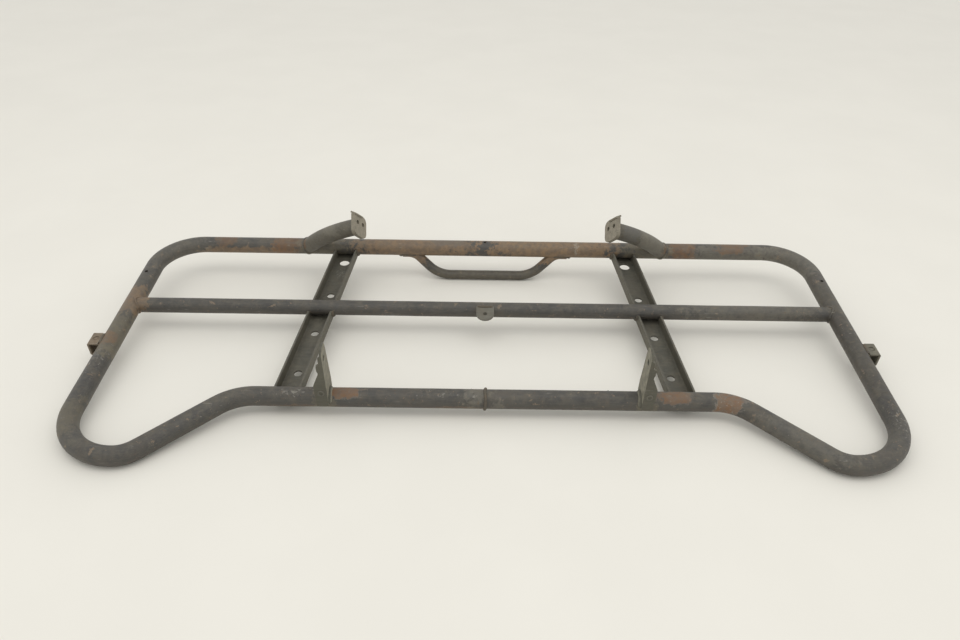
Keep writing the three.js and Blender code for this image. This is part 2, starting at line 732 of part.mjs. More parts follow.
function addBracketWelds() {
  const radius = TUBE_R + GAP;
  const arc = [];
  const steps = 6;
  for (let i = 0; i <= steps; i += 1) {
    const angle = (0.3 + (0.42 * i) / steps) * Math.PI;
    arc.push(new THREE.Vector3(BRACKET_IN_X - GAP, radius * Math.cos(angle), radius * Math.sin(angle)));
  }
  const sideLow = [BRACKET_IN_X, -2 * TUBE_R, 0];
  const sideHigh = [BRACKET_IN_X + SHEET, 2 * TUBE_R, BRACKET_TOP];
  const clearSide = block(sideLow, sideHigh, GAP);
  const foot = new THREE.Vector3(BRACKET_IN_X, 0, TUBE_R);
  placePair("weld_front_bracket", bead(arc, FOOT_BEAD_R, [clearFront, clearSide]), weldMetal, foot);

  const seats = [
    { name: "top", z: EAR_TOP, way: 1, edge: EAR_TOP_IN_X },
    { name: "bottom", z: EAR_BOTTOM, way: -1, edge: EAR_IN_X },
  ];
  seats.forEach(({ name, z, way, edge }) => {
    const x = LEG_X + Math.sqrt(radius * radius - z * z);
    const line = [
      new THREE.Vector3(x, EAR_FRONT_Y + BEAD_INSET, z + way * GAP),
      new THREE.Vector3(x, (EAR_FRONT_Y + EAR_BACK_Y) / 2, z + way * GAP),
      new THREE.Vector3(x, EAR_BACK_Y - BEAD_INSET, z + way * GAP),
    ];
    const low = [edge, EAR_FRONT_Y, z - TUBE_R];
    const high = [EAR_OUT_X, EAR_BACK_Y, z + TUBE_R];
    const weld = bead(line, EAR_BEAD_R, [clearLeg, block(low, high, GAP)]);
    placePair(`weld_side_bracket_${name}`, weld, weldMetal, line[0]);
  });

  const tabLine = [-1, 0, 1].map((side) => {
    return new THREE.Vector3(side * (TAB_WIDTH / 2 - BEAD_INSET), TAB_ROOT_Y - 0.5, TAB_TOP + 0.2);
  });
  const tabWeld = bead(tabLine, TAB_BEAD_R, [clearMid, tabShape(GAP)]);
  placeAt("weld_center_tab", tabWeld, weldMetal(), tabLine[1]);
}

// ---------------------------------------------------------------- assembly
addPerimeterTube();
addButtWeld();
addMidTube();
addRails();
addGrabLoop();
addArms();
addPlates();
addFrontBrackets();
addSideBrackets();
addCenterTab();
addCopeWelds();
addRailWelds();
addLoopWelds();
addBracketWelds();

// The row's origin is the centre of the footprint, on the surface the rack lies on.
const bounds = new THREE.Box3().setFromObject(rack, true);
const middle = bounds.getCenter(new THREE.Vector3());
deck.position.set(-middle.x, -middle.y, -bounds.min.z);

export default rack;
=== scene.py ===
"""Looks of the quad bike's rear rack: worn black paint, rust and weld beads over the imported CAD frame.

Lengths of the rack are in millimetres on its deck (x across, y rearward, z out of the deck, the front
tube's axis at y = 0), and DECK takes them to the row frame in metres.
"""

import math
import random

import bmesh
import bpy
from mathutils import Matrix, Vector, noise


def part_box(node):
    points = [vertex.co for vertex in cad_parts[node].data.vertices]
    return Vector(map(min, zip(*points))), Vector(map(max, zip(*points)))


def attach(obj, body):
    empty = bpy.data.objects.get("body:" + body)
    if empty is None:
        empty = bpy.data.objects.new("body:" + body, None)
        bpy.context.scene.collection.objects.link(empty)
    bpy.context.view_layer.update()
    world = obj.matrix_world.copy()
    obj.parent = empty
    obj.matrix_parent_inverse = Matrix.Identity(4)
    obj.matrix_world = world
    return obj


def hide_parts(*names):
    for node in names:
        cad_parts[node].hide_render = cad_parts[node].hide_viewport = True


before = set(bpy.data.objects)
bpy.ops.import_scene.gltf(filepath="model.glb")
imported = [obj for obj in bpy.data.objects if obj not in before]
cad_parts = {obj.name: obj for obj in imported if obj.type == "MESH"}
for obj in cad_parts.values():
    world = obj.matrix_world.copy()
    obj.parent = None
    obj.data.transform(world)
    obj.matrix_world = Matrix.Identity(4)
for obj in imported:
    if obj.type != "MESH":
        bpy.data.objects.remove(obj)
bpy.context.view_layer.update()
random.seed(7)

# ---------------------------------------------------------------- the rack's own measures
MM = 0.001
TUBE_R = 12.7
MID_R = 11.1
BEND_R = 65
LEG_X = 520.2
REAR_Y = 343.4
MID_Y = 183.7
FRONT_CORNER_X = 323
WING_ANGLE = math.radians(44)
WING_Y = -102.3
WING_OUTER_R = 75
WING_INNER_R = 40
LEG_DRAIN_Y = 250
DRAIN_R = 2.5

RAIL_WIDTH = 35
RAIL_TOP = 2
RAIL_REAR = (228.2, 315.8)
RAIL_FRONT = (254.4, 56.4)

LOOP_R = 7.5
LOOP_DROP = 46.3
LOOP_BEND_R = 50
LOOP_SHOULDER_R = 26
LOOP_LEAN = math.radians(15)
LOOP_HALF_RUN = 76.5
LOOP_SHOULDER_X = 115
LOOP_SHOULDER_DROP = 8.5
LOOP_END_X = 135

# How finely the round pieces are built: steps along them and sides round them.
TUBE_STEP = 9
TUBE_SIDES = 40
MID_SIDES = 36
LOOP_STEP = 5
LOOP_SIDES = 28
ARM_STEPS = 28

ARM_FOOT = Vector((289, REAR_Y, 0))
ARM_KNEE = Vector((250.7, REAR_Y - 40.3, 52.4))
ARM_END = Vector((194, REAR_Y - 52.5, 73.3))
PLATE_LEAN = math.radians(51.8)

BRACKET_IN_X = 199.7
SADDLE_WIDTH = 15
PLUG_R = 3.5
PLUG_Z = 22
SHEET = 2.5
EAR_FRONT_Y = 86
EAR_BACK_Y = 109
EAR_TOP = 9
EAR_BOLT_X = 538.4
EAR_BOLT_Y = 98
EAR_BOLT_R = 4.5
EAR_BOTTOM = -12.5
TAB_WIDTH = 26
TAB_ROOT_Y = 178
TAB_TOP = 10.7

X = Vector((1, 0, 0))
Y = Vector((0, 1, 0))
Z = Vector((0, 0, 1))


def middle(node):
    """The centre of a CAD node's box."""
    low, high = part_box(node)
    return (low + high) / 2


front_axis = middle("butt_weld_ring")
mid_axis = middle("mid_cross_tube")
DECK_TILT = math.atan2(mid_axis.z - front_axis.z, mid_axis.y - front_axis.y)
DECK = Matrix.Translation(front_axis) @ Matrix.Rotation(DECK_TILT, 4, "X") @ Matrix.Scale(MM, 4)


# ---------------------------------------------------------------- shader helpers
class Nodes:
    """Short forms for building one material's node tree."""

    def __init__(self, name):
        self.material = bpy.data.materials.new(name)
        self.material.use_nodes = True
        self.tree = self.material.node_tree
        self.bsdf = self.tree.nodes["Principled BSDF"]

    def node(self, kind, **settings):
        made = self.tree.nodes.new(kind)
        for key, value in settings.items():
            setattr(made, key, value)
        return made

    def link(self, source, target):
        self.tree.links.new(source, target)

    def feed(self, socket, value):
        """Links the socket, or sets it, whichever the value is for."""
        if isinstance(value, bpy.types.NodeSocket):
            self.link(value, socket)
        else:
            socket.default_value = value

    def math(self, operation, a, b=0.5):
        made = self.node("ShaderNodeMath", operation=operation)
        self.feed(made.inputs[0], a)
        self.feed(made.inputs[1], b)
        return made.outputs[0]

    def noise(self, vector, scale, detail=4.0, roughness=0.55, distortion=0.0):
        made = self.node("ShaderNodeTexNoise")
        self.link(vector, made.inputs["Vector"])
        made.inputs["Scale"].default_value = scale
        made.inputs["Detail"].default_value = detail
        made.inputs["Roughness"].default_value = roughness
        made.inputs["Distortion"].default_value = distortion
        return made.outputs["Fac"]

    def ramp(self, value, low, high):
        """0 below low and 1 above high, smooth between; the other way round where low is above high."""
        made = self.node("ShaderNodeMapRange", interpolation_type="SMOOTHSTEP")
        self.link(value, made.inputs["Value"])
        made.inputs["From Min"].default_value = low
        made.inputs["From Max"].default_value = high
        return made.outputs["Result"]

    def stretch(self, vector, factors):
        """The vector with each of its axes scaled."""
        made = self.node("ShaderNodeVectorMath", operation="MULTIPLY")
        self.link(vector, made.inputs[0])
        made.inputs[1].default_value = factors
        return made.outputs[0]

    def mix(self, factor, a, b):
        """Colour a where the factor is 0, colour b where it is 1."""
        made = self.node("ShaderNodeMix", data_type="RGBA")
        self.feed(made.inputs["Factor"], factor)
        self.feed(made.inputs[6], a)
        self.feed(made.inputs[7], b)
        return made.outputs[2]

    def blend(self, factor, a, b):
        """Value a where the factor is 0, value b where it is 1."""
        made = self.node("ShaderNodeMix", data_type="FLOAT")
        self.feed(made.inputs["Factor"], factor)
        self.feed(made.inputs[2], a)
        self.feed(made.inputs[3], b)
        return made.outputs[0]

    def spot(self, position, place, radii):
        """1 at a place on the deck, falling to 0 at the given radii from it."""
        away = self.node("ShaderNodeVectorMath", operation="SUBTRACT")
        self.link(position, away.inputs[0])
        away.inputs[1].default_value = DECK @ Vector(place)
        scaled = self.stretch(away.outputs[0], [1 / (radius * MM) for radius in radii])
        length = self.node("ShaderNodeVectorMath", operation="LENGTH")
        self.link(scaled, length.inputs[0])
        return self.ramp(length.outputs["Value"], 1.0, 0.25)


def colour(red, green, blue):
    """An 8-bit screen colour as linear RGBA."""

    def linear(value):
        value /= 255
        return value / 12.92 if value <= 0.04045 else ((value + 0.055) / 1.055) ** 2.4

    return (linear(red), linear(green), linear(blue), 1.0)


# ---------------------------------------------------------------- materials
BROWN = colour(130, 107, 81)
# WARM is also the colour of the painted bounce light on undersides.
WARM = colour(94, 85, 71)
RUST = colour(116, 85, 57)
OLIVE = colour(101, 95, 79)
BLUE = colour(90, 89, 85)
DARK = colour(66, 62, 54)
DUST = colour(120, 116, 104)
PALE = colour(150, 147, 138)

# What the frame's paint has turned to and where: place on the deck, reach, colour and strength.
FRAME_STAINS = [
    ((-110, REAR_Y, 3), (155, 40, 40), BROWN, 0.9),
    ((110, REAR_Y, 3), (170, 40, 40), BROWN, 1.0),
    ((-62, REAR_Y + 4, 10), (50, 20, 16), BLUE, 0.6),
    ((-395, REAR_Y - 8, -4), (130, 16, 14), BROWN, 0.8),
    ((-420, REAR_Y, 8), (30, 20, 14), RUST, 0.6),
    ((400, REAR_Y - 4, 0), (130, 26, 26), DUST, 0.5),
    ((490, REAR_Y - 30, 4), (80, 80, 26), DUST, 0.5),
    ((-490, REAR_Y - 30, 4), (80, 80, 26), DUST, 0.25),
    ((390, MID_Y, 4), (170, 24, 24), DUST, 0.35),
    ((400, -60, 6), (100, 80, 26), DUST, 0.3),
    ((-322, REAR_Y, 2), (40, 30, 30), RUST, 0.8),
    ((322, REAR_Y, 2), (40, 30, 30), RUST, 0.8),
    ((402, REAR_Y, 8), (44, 22, 12), RUST, 0.7),
    ((-266, REAR_Y - 4, 0), (66, 26, 30), OLIVE, 0.9),
    ((264, REAR_Y - 4, 0), (68, 26, 30), OLIVE, 0.9),
    ((-LEG_X, MID_Y, 6), (40, 52, 34), BROWN, 0.75),
    ((-LEG_X, 110, 4), (34, 76, 34), OLIVE, 0.9),
    ((-LEG_X - 6, 98, 8), (26, 22, 14), RUST, 0.6),
    ((-LEG_X, -50, 6), (40, 60, 20), OLIVE, 0.6),
    ((LEG_X, 130, 4), (34, 230, 34), DARK, 0.6),
    ((LEG_X, 210, 4), (34, 60, 30), OLIVE, 0.3),
    ((-230, -8, -8), (90, 14, 12), BROWN, 0.35),
    ((-30, -9, -8), (70, 14, 10), BROWN, 0.35),
    ((-207, -8, 0), (24, 24, 24), OLIVE, 0.9),
    ((207, -8, 0), (24, 24, 24), OLIVE, 0.9),
    ((-183, -2, 12), (38, 17, 14), PALE, 0.3),
    ((-183, -2, 12), (35, 15, 12), RUST, 0.9),
    ((242, -3, 11), (36, 19, 15), PALE, 0.25),
    ((242, -3, 11), (33, 17, 13), RUST, 0.9),
    ((314, -6, 3), (33, 28, 26), PALE, 0.5),
    ((315, -6, 3), (29, 25, 22), RUST, 0.95),
    ((-14, 0, 4), (26, 24, 20), DUST, 0.5),
    ((14, 0, -2), (26, 22, 20), DUST, 0.4),
    ((0, REAR_Y - 12, -44), (180, 26, 34), OLIVE, 0.5),
]
ARM_STAINS = [
    ((-304, REAR_Y - 4, 8), (32, 30, 24), RUST, 0.7),
    ((304, REAR_Y - 4, 8), (32, 30, 24), RUST, 0.7),
    ((-240, REAR_Y - 40, 60), (40, 30, 14), DUST, 0.5),
    ((266, REAR_Y - 30, 40), (70, 50, 44), DUST, 0.65),
    ((222, REAR_Y - 50, 66), (30, 26, 24), BLUE, 0.8),
]

# Where the paint is scuffed into small chips: place on the deck, reach and strength.
SCUFFS = [
    ((149, REAR_Y - 6, 8), (8, 22, 22), 0.2),
    ((-246, -3, 11), (34, 12, 9), 0.13),
    ((-60, -3, 11), (60, 12, 9), 0.08),
    ((314, -6, 3), (34, 28, 26), 0.09),
    ((-LEG_X, 60, 8), (20, 60, 14), 0.11),
    ((LEG_X, -40, 8), (20, 50, 14), 0.11),
    ((-232, 285, -8), (18, 36, 16), 0.12),
    ((-14, 0, 6), (10, 20, 20), 0.1),
]


STAIN_RAGGEDNESS = 3.2


def stained(n, position, surface, ragged, mottle, stains):
    """The surface with its stains laid over it in order, each uneven and with a ragged edge."""
    wander = n.math("MULTIPLY", n.math("SUBTRACT", ragged, 0.5), STAIN_RAGGEDNESS)
    uneven = n.blend(n.ramp(mottle, 0.36, 0.64), 0.5, 1.0)
    for place, reach, tint, strength in stains:
        edge = n.ramp(n.math("ADD", n.spot(position, place, reach), wander), 0.34, 0.56)
        surface = n.mix(n.math("MULTIPLY", n.math("MULTIPLY", edge, strength), uneven), surface, tint)
    return surface


def scuffed(n, position, chips):
    """The chip noise raised where the paint has been scuffed."""
    for place, reach, strength in SCUFFS:
        chips = n.math("ADD", chips, n.math("MULTIPLY", n.spot(position, place, reach), strength))
    return chips


def base_tone(n, position, mottle):
    """Where the paint is dark (0) and where it has faded (1): large blotches, mottle and fine streaks."""
    blotch = n.noise(position, 21, detail=6, roughness=0.62, distortion=0.5)
    streaks = n.noise(n.stretch(position, (60, 260, 700)), 1.0, detail=6, roughness=0.7)
    tone = n.blend(0.5, n.ramp(blotch, 0.36, 0.66), n.ramp(mottle, 0.34, 0.66))
    return n.blend(0.4, tone, n.ramp(streaks, 0.36, 0.64))


def warmth_and_bounce(n, position, normal):
    """Brown patches, and a browner, lighter underside that is painted warm bounce light from the table."""
    patches = n.ramp(n.noise(position, 30, detail=9, roughness=0.74, distortion=0.4), 0.45, 0.64)
    # The underside's brown is painted warm bounce light from the table.
    under = n.ramp(normal.outputs["Z"], 0.35, -0.35)
    return n.math("MAXIMUM", n.math("MULTIPLY", patches, 0.3), n.math("MULTIPLY", under, 0.2))


def dust_and_painted_side_light(n, position, normal, mottle, dustiness, side_light):
    """Mud and dust where the surface faces up; on the sides of the sheet pieces, dust and painted light that
    lifts their shaded sides.
    """
    upward = n.ramp(normal.outputs["Z"], -0.1, 0.95)
    patches = n.ramp(n.noise(position, 75, detail=7, roughness=0.7, distortion=0.6), 0.42, 0.72)
    dust_and_side_light = n.math("MULTIPLY", n.math("MULTIPLY", upward, patches), dustiness)
    # Faces turned sideways are lightened: partly dust, partly painted light on the sides.
    if side_light:
        sideways = n.ramp(n.math("ABSOLUTE", normal.outputs["X"]), 0.5, 0.95)
        painted_side_light = n.math("MULTIPLY", n.math("MULTIPLY", sideways, side_light), n.ramp(mottle, 0.2, 0.7))
        dust_and_side_light = n.math("MAXIMUM", dust_and_side_light, painted_side_light)
    return dust_and_side_light


def rust_cover(n, position, ragged, rustiness):
    """A bloom of rust where the paint is thin, and specks of it everywhere."""
    bloom = n.ramp(n.math("ADD", ragged, rustiness), 0.62, 0.78)
    specks = n.ramp(n.noise(position, 300, detail=4, roughness=0.6), 0.63, 0.71)
    return n.math("MAXIMUM", n.math("MULTIPLY", bloom, 0.75), n.math("MULTIPLY", specks, 0.45))


def scratches_and_chips(n, position):
    """Fine scratches in patches, and chips down to the primer where the paint is scuffed."""
    patchy = n.ramp(n.noise(position, 36, detail=3), 0.46, 0.62)
    scratch_noise = n.noise(n.stretch(position, (34, 300, 420)), 1.0, detail=4, roughness=0.6)
    scratches = n.math("MULTIPLY", n.ramp(scratch_noise, 0.64, 0.70), patchy)
    chip_noise = scuffed(n, position, n.noise(position, 260, detail=6, roughness=0.74))
    chips = n.math("MULTIPLY", n.ramp(chip_noise, 0.66, 0.70), 0.5)
    return n.math("MAXIMUM", n.math("MULTIPLY", scratches, 0.45), chips)


def bare_edges(n, position):
    """Bare metal on the worn edges, where the mesh says there is an edge."""
    edge = n.node("ShaderNodeAttribute", attribute_name="edge").outputs["Fac"]
    bare = n.math("MULTIPLY", edge, n.ramp(n.noise(position, 160, detail=3), 0.38, 0.6))
    return n.math("MULTIPLY", bare, 0.5)


RELIEF_DEPTH = 0.7


def add_relief(n, grain, mottle, ragged, marks):
    """Bumps of the paint and its rust, with the marks cut into it."""
    height = n.math("MULTIPLY", grain, 0.12)
    height = n.math("ADD", height, n.math("MULTIPLY", mottle, 0.4))
    height = n.math("ADD", height, n.math("MULTIPLY", ragged, 0.9))
    height = n.math("SUBTRACT", height, n.math("MULTIPLY", marks, 0.25))
    bump = n.node("ShaderNodeBump")
    bump.inputs["Strength"].default_value = 0.5
    bump.inputs["Distance"].default_value = RELIEF_DEPTH * MM
    n.link(height, bump.inputs["Height"])
    n.link(bump.outputs["Normal"], n.bsdf.inputs["Normal"])


def worn_paint(name, dark, light, dust, dustiness=0.35, rustiness=0.0, gloss=0.5, stains=(), side_light=0.0):
    """Old black paint: blotched, stained, dust on top, rusting, scratched, chipped, worn on its edges;
    painted bounce light under it and painted light on sheet sides.
    """
    n = Nodes(name)
    geometry = n.node("ShaderNodeNewGeometry")
    position = geometry.outputs["Position"]
    normal = n.node("ShaderNodeSeparateXYZ")
    n.link(geometry.outputs["Normal"], normal.inputs[0])
    mottle = n.noise(position, 120, detail=6, roughness=0.68)
    grain = n.noise(position, 900, detail=3)
    ragged = n.noise(position, 95, detail=9, roughness=0.72, distortion=0.3)

    surface = n.mix(base_tone(n, position, mottle), dark, light)
    # Brown patches, and painted warm bounce light on the underside.
    surface = n.mix(warmth_and_bounce(n, position, normal), surface, WARM)
    surface = stained(n, position, surface, ragged, mottle, stains)
    # Dust, and painted light on the sheet pieces' sides, mixed in the dust colour.
    dust_and_side_light = dust_and_painted_side_light(n, position, normal, mottle, dustiness, side_light)
    surface = n.mix(dust_and_side_light, surface, dust)
    rusty = rust_cover(n, position, ragged, rustiness)
    surface = n.mix(rusty, surface, n.mix(n.ramp(grain, 0.35, 0.65), WARM, RUST))
    marks = scratches_and_chips(n, position)
    surface = n.mix(marks, surface, PALE)
    surface = n.mix(bare_edges(n, position), surface, PALE)
    n.link(surface, n.bsdf.inputs["Base Color"])

    rough = n.blend(n.ramp(mottle, 0.3, 0.7), gloss - 0.08, gloss + 0.14)
    rough = n.blend(n.math("MAXIMUM", dust_and_side_light, rusty), rough, 0.88)
    n.link(rough, n.bsdf.inputs["Roughness"])
    add_relief(n, grain, mottle, ragged, marks)
    return n.material


frame_paint = worn_paint(
    "frame_paint", colour(55, 54, 53), colour(82, 80, 74), colour(120, 114, 98),
    gloss=0.46, stains=FRAME_STAINS,
)
arm_paint = worn_paint(
    "arm_paint", colour(68, 66, 58), colour(102, 98, 87), colour(130, 124, 108),
    gloss=0.55, stains=ARM_STAINS,
)
# The rails, brackets, ears and plates lighten their sideways faces: dust, and painted light on those sides.
rail_paint = worn_paint(
    "rail_paint", colour(70, 69, 61), colour(93, 91, 80), colour(118, 113, 98), gloss=0.55, side_light=0.35
)
tab_paint = worn_paint(
    "tab_paint", colour(82, 80, 72), colour(108, 106, 95), colour(126, 122, 108), gloss=0.58
)
bracket_paint = worn_paint(
    "bracket_paint", colour(66, 66, 57), colour(90, 89, 77), colour(150, 146, 130), gloss=0.6, side_light=0.9
)
rusty_ear_paint = worn_paint(
    "rusty_ear_paint", colour(100, 89, 74), colour(130, 115, 96), colour(150, 137, 118),
    rustiness=0.1, gloss=0.6, side_light=0.8,
)
olive_ear_paint = worn_paint(
    "olive_ear_paint", colour(82, 80, 68), colour(112, 109, 96), colour(146, 142, 126), gloss=0.58, side_light=0.8
)
plate_paint = worn_paint(
    "plate_paint", colour(98, 94, 82), colour(140, 133, 117), colour(160, 153, 138),
    dustiness=0.6, gloss=0.62, side_light=0.5,
)
weld_paint = worn_paint(
    "weld_paint", colour(66, 62, 54), colour(94, 86, 73), colour(120, 110, 92), rustiness=0.1, gloss=0.55
)
# The nut's colours are lighter than its rusty steel: painted light that lifts the shade under the ear's top.
nut_steel = worn_paint(
    "nut_steel", colour(142, 126, 106), colour(176, 162, 140), colour(180, 168, 148), rustiness=0.1, gloss=0.6
)


# ---------------------------------------------------------------- mesh helpers
def add_piece(name, mesh, material, replaces=()):
    """A visible piece of the rack, riding on its one body."""
    mesh.materials.clear()
    mesh.materials.append(material)
    piece = bpy.data.objects.new(name, mesh)
    bpy.context.scene.collection.objects.link(piece)
    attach(piece, "root")
    if replaces:
        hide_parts(*replaces)
    return piece


def smooth(mesh, angle=40):
    mesh.shade_smooth()
    mesh.set_sharp_from_angle(angle=math.radians(angle))


def rounded_line(corners, radii, step=math.radians(4)):
    """Points along a line of corners, with every inner corner rounded to its radius."""
    points = [corners[0].copy()]
    for before, corner, after, radius in zip(corners, corners[1:], corners[2:], radii[1:]):
        incoming = (corner - before).normalized()
        outgoing = (after - corner).normalized()
        turn = incoming.angle(outgoing)
        start = corner - incoming * radius * math.tan(turn / 2)
        inward = (outgoing - incoming * outgoing.dot(incoming)).normalized()
        steps = math.ceil(turn / step)
        for i in range(steps + 1):
            angle = turn * i / steps
            ahead = incoming * radius * math.sin(angle)
            points.append(start + ahead + inward * radius * (1 - math.cos(angle)))
    points.append(corners[-1].copy())
    return points


def resample(points, step):
    """The same line with points a step apart at most, its corners kept."""
    out = [points[0]]
    for a, b in zip(points, points[1:]):
        count = max(1, math.ceil((b - a).length / step))
        out.extend(a.lerp(b, (i + 1) / count) for i in range(count))
    return out


def tangents(points, closed):
    """The line's direction at each of its points."""
    count = len(points)
    out = []
    for i in range(count):
        before = points[(i - 1) % count] if closed or i > 0 else points[i]
        after = points[(i + 1) % count] if closed or i < count - 1 else points[i]
        out.append((after - before).normalized())
    return out


def ring_at(point, side, over, radii):
    """Points round a place, from its two cross directions and a list of (angle, radius)."""
    ring = []
    for angle, radius in radii:
        outward = side * math.cos(angle) + over * math.sin(angle)
        ring.append(DECK @ (point + outward * radius))
    return ring


def skin(name, rings, closed, sharp_angle):
    """A closed mesh over rings of points, joined end to end or capped."""
    bm = bmesh.new()
    rings = [[bm.verts.new(place) for place in ring] for ring in rings]
    following = rings[1:] + rings[:1] if closed else rings[1:]
    for ring, after in zip(rings, following):
        for j in range(len(ring)):
            k = (j + 1) % len(ring)
            bm.faces.new((ring[j], ring[k], after[k], after[j]))
    if not closed:
        bm.faces.new(rings[0])
        bm.faces.new(list(reversed(rings[-1])))
    bmesh.ops.recalc_face_normals(bm, faces=bm.faces)
    mesh = bpy.data.meshes.new(name)
    bm.to_mesh(mesh)
    bm.free()
    smooth(mesh, sharp_angle)
    return mesh


def full_turn(steps):
    """Angles once round, the last one back at the start."""
    return [2 * math.pi * i / steps for i in range(steps + 1)]


def travelled(points):
    """How far along its line each point is."""
    out = [0.0]
    for a, b in zip(points, points[1:]):
        out.append(out[-1] + (b - a).length)
    return out


def sweep(name, points, up, section, sides, closed=False):
    """A tube mesh along points. section(i, angle, along) gives its radius, and up is its plane's normal."""
    rings = []
    for i, (point, direction, along) in enumerate(zip(points, tangents(points, closed), travelled(points))):
        side = up.cross(direction).normalized()
        over = direction.cross(side).normalized()
        angles = [2 * math.pi * (j + 0.5) / sides - math.pi / 2 for j in range(sides)]
        rings.append(ring_at(point, side, over, [(angle, section(i, angle, along)) for angle in angles]))
    return skin(name, rings, closed, 40)


def handmade(radius, seed, amount=0.012):
    """A tube radius that wanders a little, as a bent and knocked tube's does."""

    def section(i, angle, along):
        place = Vector((along * 0.02, math.cos(angle) * 0.8, math.sin(angle) * 0.8 + seed * 7.3))
        return radius * (1 + amount * noise.noise(place))

    return section


def drilled(mesh, places, radius, depth):
    """The mesh with blind round holes, each from a place straight out of the deck."""
    host = bpy.data.objects.new("host", mesh)
    bpy.context.scene.collection.objects.link(host)
    drills = []
    for place in places:
        bm = bmesh.new()
        bmesh.ops.create_cone(bm, cap_ends=True, segments=24, radius1=radius, radius2=radius, depth=depth)
        bm.transform(DECK @ Matrix.Translation(place))
        drill_mesh = bpy.data.meshes.new("drill")
        bm.to_mesh(drill_mesh)
        bm.free()
        drill = bpy.data.objects.new("drill", drill_mesh)
        bpy.context.scene.collection.objects.link(drill)
        modifier = host.modifiers.new("drill", "BOOLEAN")
        modifier.object = drill
        modifier.solver = "EXACT"
        drills.append(drill)
    bpy.context.view_layer.update()
    evaluated = host.evaluated_get(bpy.context.evaluated_depsgraph_get())
    out = bpy.data.meshes.new_from_object(evaluated)
    for thing in drills + [host]:
        bpy.data.objects.remove(thing)
    smooth(out)
    return out


def mirror_x(points):
    return [Vector((-p.x, p.y, p.z)) for p in points]


SIDES = (("right", 1), ("left", -1))


def on_side(points, sign):
    """The right side's points as they are, or mirrored for the left side."""
    return points if sign > 0 else mirror_x(points)


# ---------------------------------------------------------------- tubes and rod
def add_perimeter_tube():
    """The bent outline, closed, with its drain holes."""
    wing_inner_x = FRONT_CORNER_X - WING_Y / math.tan(WING_ANGLE)
    corners = [
        Vector((0, REAR_Y, 0)),
        Vector((LEG_X, REAR_Y, 0)),
        Vector((LEG_X, WING_Y, 0)),
        Vector((wing_inner_x, WING_Y, 0)),
        Vector((FRONT_CORNER_X, 0, 0)),
        Vector((0, 0, 0)),
    ]
    radii = [0, BEND_R, WING_OUTER_R, WING_INNER_R, BEND_R, 0]
    half = rounded_line(corners, radii)
    loop = half + list(reversed(mirror_x(half)))[1:-1]
    points = resample(loop + [loop[0]], TUBE_STEP)[:-1]
    mesh = sweep("perimeter_tube_skin", points, Z, handmade(TUBE_R, 1), TUBE_SIDES, closed=True)
    drains = [Vector((x, y, TUBE_R)) for x, y in ((0, REAR_Y), (LEG_X, LEG_DRAIN_Y), (-LEG_X, LEG_DRAIN_Y))]
    mesh = drilled(mesh, drains, DRAIN_R, TUBE_R)
    add_piece("perimeter_tube_skin", mesh, frame_paint, ["perimeter_tube"])


def add_mid_tube():
    """The thinner tube across, its ends inside the side legs."""
    reach = LEG_X - TUBE_R / 2
    points = resample([Vector((-reach, MID_Y, 0)), Vector((reach, MID_Y, 0))], TUBE_STEP)
    mesh = sweep("mid_cross_tube_skin", points, Z, handmade(MID_R, 2), MID_SIDES)
    add_piece("mid_cross_tube_skin", mesh, frame_paint, ["mid_cross_tube"])


def loop_point(x, drop):
    """A place on the grab loop's leaning plane, at a drop from the rear tube's axis."""
    return Vector((x, REAR_Y - drop * math.sin(LOOP_LEAN), -drop * math.cos(LOOP_LEAN)))


def add_grab_loop():
    """The bent rod under the rear tube."""
    corners = [
        loop_point(-LOOP_END_X, LOOP_SHOULDER_DROP),
        loop_point(-LOOP_SHOULDER_X, LOOP_SHOULDER_DROP),
        loop_point(-LOOP_HALF_RUN, LOOP_DROP),
        loop_point(LOOP_HALF_RUN, LOOP_DROP),
        loop_point(LOOP_SHOULDER_X, LOOP_SHOULDER_DROP),
        loop_point(LOOP_END_X, LOOP_SHOULDER_DROP),
    ]
    radii = [0, LOOP_SHOULDER_R, LOOP_BEND_R, LOOP_BEND_R, LOOP_SHOULDER_R, 0]
    points = resample(rounded_line(corners, radii), LOOP_STEP)
    up = Vector((0, math.cos(LOOP_LEAN), -math.sin(LOOP_LEAN)))
    mesh = sweep("grab_loop_skin", points, up, handmade(LOOP_R, 3), LOOP_SIDES)
    add_piece("grab_loop_skin", mesh, frame_paint, ["grab_loop"])


def arm_point(t):
    """A place on the right arm's bent centre line, from its foot (0) to its end (1)."""
    return ARM_FOOT * (1 - t) ** 2 + ARM_KNEE * 2 * t * (1 - t) + ARM_END * t**2


ARM_START_WAY = (ARM_KNEE - ARM_FOOT).normalized()
ARM_END_WAY = (ARM_END - ARM_KNEE).normalized()


def add_arms():
    """The curved tube stubs that rise from the rear tube."""
    line = [arm_point(i / ARM_STEPS) for i in range(ARM_STEPS + 1)]
    for side, sign in SIDES:
        points = on_side(line, sign)
        half_way = points[ARM_STEPS // 2]
        up = (points[-1] - half_way).cross(points[0] - half_way).normalized()
        mesh = sweep(f"rear_arm_{side}_skin", points, up, handmade(TUBE_R, 4 + sign), TUBE_SIDES)
        add_piece(f"rear_arm_{side}_skin", mesh, arm_paint, [f"rear_arm_{side}"])


# ---------------------------------------------------------------- sheet pieces, with worn round edges
ROUNDING = 0.45
PLATE_ROUNDING = 0.6
NUT_ROUNDING = 0.4
SHARP_TURN = math.radians(32)
SAME_POINT = 0.02
SLIVER = 0.01


